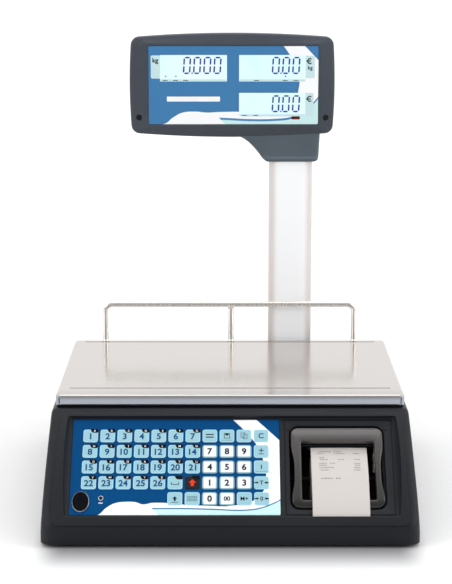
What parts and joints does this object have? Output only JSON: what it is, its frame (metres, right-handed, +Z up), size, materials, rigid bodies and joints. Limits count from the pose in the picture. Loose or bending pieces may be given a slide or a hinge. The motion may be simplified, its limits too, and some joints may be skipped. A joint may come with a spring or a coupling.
{
  "type": "label printing scale",
  "caption": "Counter scale with a stainless platter and wire rail, sloped membrane keypad, built-in label printer, and a two-sided display head on a column.",
  "frame": {"origin": "on the table under the middle of the base", "axes": "+X to the user's right, +Y away from the user, +Z up"},
  "size_m": [0.378, 0.4, 0.4855],
  "materials": {
    "casing": "fine moulded grain, satin",
    "tray": "fine moulded grain",
    "overlay": "printed polyester, satin gloss",
    "backplate": "plain sheet",
    "function_key": "printed, embossed",
    "number_key": "printed, embossed",
    "button": "gloss",
    "button_ring": "satin silver",
    "led": "clear red",
    "lid": "smoky satin",
    "pin": "ground",
    "inner_plastic": "black",
    "thermal_head": "anodised",
    "steel": "brushed",
    "rubber": "matt",
    "gear": "natural acetal",
    "brass_gear": "cut",
    "motor": "plated",
    "paper": "thermal paper",
    "load_cell": "milled",
    "cast": "cast",
    "zinc_steel": "zinc grey",
    "stainless": "brushed lengthways",
    "rail_wire": "polished wire",
    "column": "satin anodised",
    "head_front": "fine grain, satin",
    "head_rear": "fine grain, satin",
    "head_overlay": "printed polyester",
    "lcd": "backlit display",
    "board": "solder mask",
    "screw": "black",
    "psu": "folded sheet",
    "battery": "moulded",
    "inlet": "moulded",
    "cable": "sheathed",
    "level": "clear vial"
  },
  "bodies": {
    "base": {"lower_tray": "tray", "top_housing": "casing", "keypad_overlay": "overlay", "keypad_backplate": "backplate", "function_keys": "function_key", "power_button_ring": "button_ring", "power_led_lens": "led", "lid_hinge_pin": "pin", "printer_bay": "inner_plastic", "thermal_head": "thermal_head", "tear_bar": "steel", "stepper_motor": "motor", "load_cell": "load_cell", "load_cell_mounts": "cast", "column_tube": "column", "column_clamp": "cast", "head_front_shell": "head_front", "head_rear_shell": "head_rear", "front_window": "head_overlay", "rear_window": "head_overlay", "lcd_panels": "lcd", "display_board": "board", "head_screws": "screw", "main_board": "board", "power_supply": "psu", "battery": "battery", "battery_cover": "tray", "power_inlet": "inlet", "pole_cable": "cable", "bubble_level": "level", "base_screws": "steel"},
    "spider": {"platter_spider": "zinc_steel", "spider_pads": "rubber"},
    "platter": {"platter": "stainless", "rail": "rail_wire"},
    "lid": {"printer_lid": "lid", "paper_strip": "paper"},
    "paper_roll": {"paper_roll": "paper", "roll_spindle": "inner_plastic"},
    "platen": {"platen_roller": "rubber", "platen_gear": "gear"},
    "idler": {"idler_gear": "gear"},
    "pinion": {"motor_pinion": "brass_gear"},
    "power_button": {"power_button": "button"},
    "key_0": {"key_0": "number_key"},
    "key_1": {"key_1": "number_key"},
    "key_2": {"key_2": "number_key"},
    "key_3": {"key_3": "number_key"},
    "key_4": {"key_4": "number_key"},
    "key_5": {"key_5": "number_key"},
    "key_6": {"key_6": "number_key"},
    "key_7": {"key_7": "number_key"},
    "key_8": {"key_8": "number_key"},
    "key_9": {"key_9": "number_key"},
    "key_00": {"key_00": "number_key"},
    "foot_front_left": {"foot_front_left": "rubber"},
    "foot_front_right": {"foot_front_right": "rubber"},
    "foot_rear_left": {"foot_rear_left": "rubber"},
    "foot_rear_right": {"foot_rear_right": "rubber"}
  },
  "joints": [
    {"name": "platter_deflection", "type": "slide", "parent": "base", "child": "spider", "axis": [0, 0, -1], "range_m": [0, 0.0005], "stiffness_N_per_m": 200000, "springref_m": -0.0002, "deforming": ["load_cell"]},
    {"name": "platter_lift", "type": "slide", "parent": "spider", "child": "platter", "axis": [0, 0, 1], "range_m": [0, 0.04]},
    {"name": "lid_hinge", "type": "hinge", "parent": "base", "child": "lid", "pos_m": [0.109, -0.12271, 0.09862], "axis": [-1, 0, 0], "range_deg": [0, 85]},
    {"name": "paper_roll_spin", "type": "hinge", "parent": "base", "child": "paper_roll", "pos_m": [0.109, -0.12877, 0.04887], "axis": [1, 0, 0], "continuous": true},
    {"name": "platen_spin", "type": "hinge", "parent": "base", "child": "platen", "pos_m": [0.109, -0.12227, 0.08151], "axis": [1, 0, 0], "continuous": true},
    {"name": "idler_spin", "type": "hinge", "parent": "base", "child": "idler", "pos_m": [0.149, -0.12135, 0.06394], "axis": [1, 0, 0], "continuous": true},
    {"name": "pinion_spin", "type": "hinge", "parent": "base", "child": "pinion", "pos_m": [0.149, -0.10617, 0.06317], "axis": [1, 0, 0], "continuous": true},
    {"name": "power_button_push", "type": "slide", "parent": "base", "child": "power_button", "axis": [0, 0.7193, -0.6947], "range_m": [0, 0.0015], "stiffness_N_per_m": 1500, "springref_m": -0.0003},
    {"name": "key_0_press", "type": "slide", "parent": "base", "child": "key_0", "axis": [0, 0.7193, -0.6947], "range_m": [0, 0.0004], "stiffness_N_per_m": 800, "springref_m": -0.0001},
    {"name": "key_1_press", "type": "slide", "parent": "base", "child": "key_1", "axis": [0, 0.7193, -0.6947], "range_m": [0, 0.0004], "stiffness_N_per_m": 800, "springref_m": -0.0001},
    {"name": "key_2_press", "type": "slide", "parent": "base", "child": "key_2", "axis": [0, 0.7193, -0.6947], "range_m": [0, 0.0004], "stiffness_N_per_m": 800, "springref_m": -0.0001},
    {"name": "key_3_press", "type": "slide", "parent": "base", "child": "key_3", "axis": [0, 0.7193, -0.6947], "range_m": [0, 0.0004], "stiffness_N_per_m": 800, "springref_m": -0.0001},
    {"name": "key_4_press", "type": "slide", "parent": "base", "child": "key_4", "axis": [0, 0.7193, -0.6947], "range_m": [0, 0.0004], "stiffness_N_per_m": 800, "springref_m": -0.0001},
    {"name": "key_5_press", "type": "slide", "parent": "base", "child": "key_5", "axis": [0, 0.7193, -0.6947], "range_m": [0, 0.0004], "stiffness_N_per_m": 800, "springref_m": -0.0001},
    {"name": "key_6_press", "type": "slide", "parent": "base", "child": "key_6", "axis": [0, 0.7193, -0.6947], "range_m": [0, 0.0004], "stiffness_N_per_m": 800, "springref_m": -0.0001},
    {"name": "key_7_press", "type": "slide", "parent": "base", "child": "key_7", "axis": [0, 0.7193, -0.6947], "range_m": [0, 0.0004], "stiffness_N_per_m": 800, "springref_m": -0.0001},
    {"name": "key_8_press", "type": "slide", "parent": "base", "child": "key_8", "axis": [0, 0.7193, -0.6947], "range_m": [0, 0.0004], "stiffness_N_per_m": 800, "springref_m": -0.0001},
    {"name": "key_9_press", "type": "slide", "parent": "base", "child": "key_9", "axis": [0, 0.7193, -0.6947], "range_m": [0, 0.0004], "stiffness_N_per_m": 800, "springref_m": -0.0001},
    {"name": "key_00_press", "type": "slide", "parent": "base", "child": "key_00", "axis": [0, 0.7193, -0.6947], "range_m": [0, 0.0004], "stiffness_N_per_m": 800, "springref_m": -0.0001},
    {"name": "foot_front_left_screw", "type": "slide", "parent": "base", "child": "foot_front_left", "axis": [0, 0, -1], "range_m": [0, 0.006]},
    {"name": "foot_front_right_screw", "type": "slide", "parent": "base", "child": "foot_front_right", "axis": [0, 0, -1], "range_m": [0, 0.006]},
    {"name": "foot_rear_left_screw", "type": "slide", "parent": "base", "child": "foot_rear_left", "axis": [0, 0, -1], "range_m": [0, 0.006]},
    {"name": "foot_rear_right_screw", "type": "slide", "parent": "base", "child": "foot_rear_right", "axis": [0, 0, -1], "range_m": [0, 0.006]}
  ],
  "couplings": [
    {"joint": "platen_spin", "follows": "paper_roll_spin", "ratio": 4.8889},
    {"joint": "idler_spin", "follows": "paper_roll_spin", "ratio": -4.0741},
    {"joint": "pinion_spin", "follows": "paper_roll_spin", "ratio": 6.9841}
  ]
}
